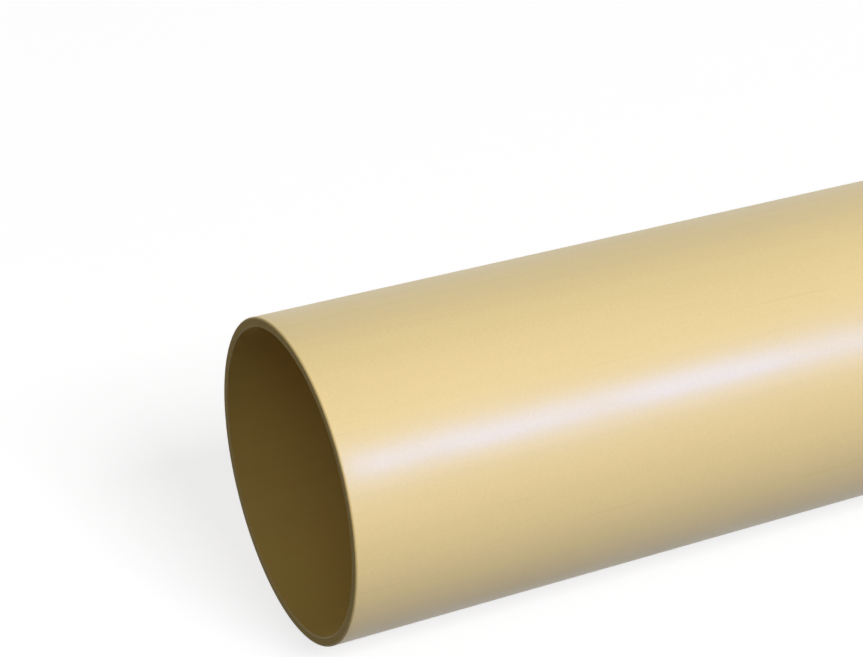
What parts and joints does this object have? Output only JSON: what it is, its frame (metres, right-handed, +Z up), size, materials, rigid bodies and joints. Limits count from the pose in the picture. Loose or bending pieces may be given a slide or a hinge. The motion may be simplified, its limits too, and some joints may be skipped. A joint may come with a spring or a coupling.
{
  "type": "plastic drain pipe",
  "caption": "Straight length of smooth, thin-walled plastic drain pipe in clay cream, with plain square-sawn ends and a satin gloss.",
  "frame": {"origin": "on the floor that the pipe lies on, under the middle of its length", "axes": "+X along the pipe's axis, from the sawn end that the picture shows to the other; +Y level; +Z up"},
  "size_m": [3, 0.11, 0.1096],
  "materials": {
    "pipe_plastic": "satin"
  },
  "bodies": {
    "root": {"drain_pipe": "pipe_plastic"}
  },
  "joints": []
}
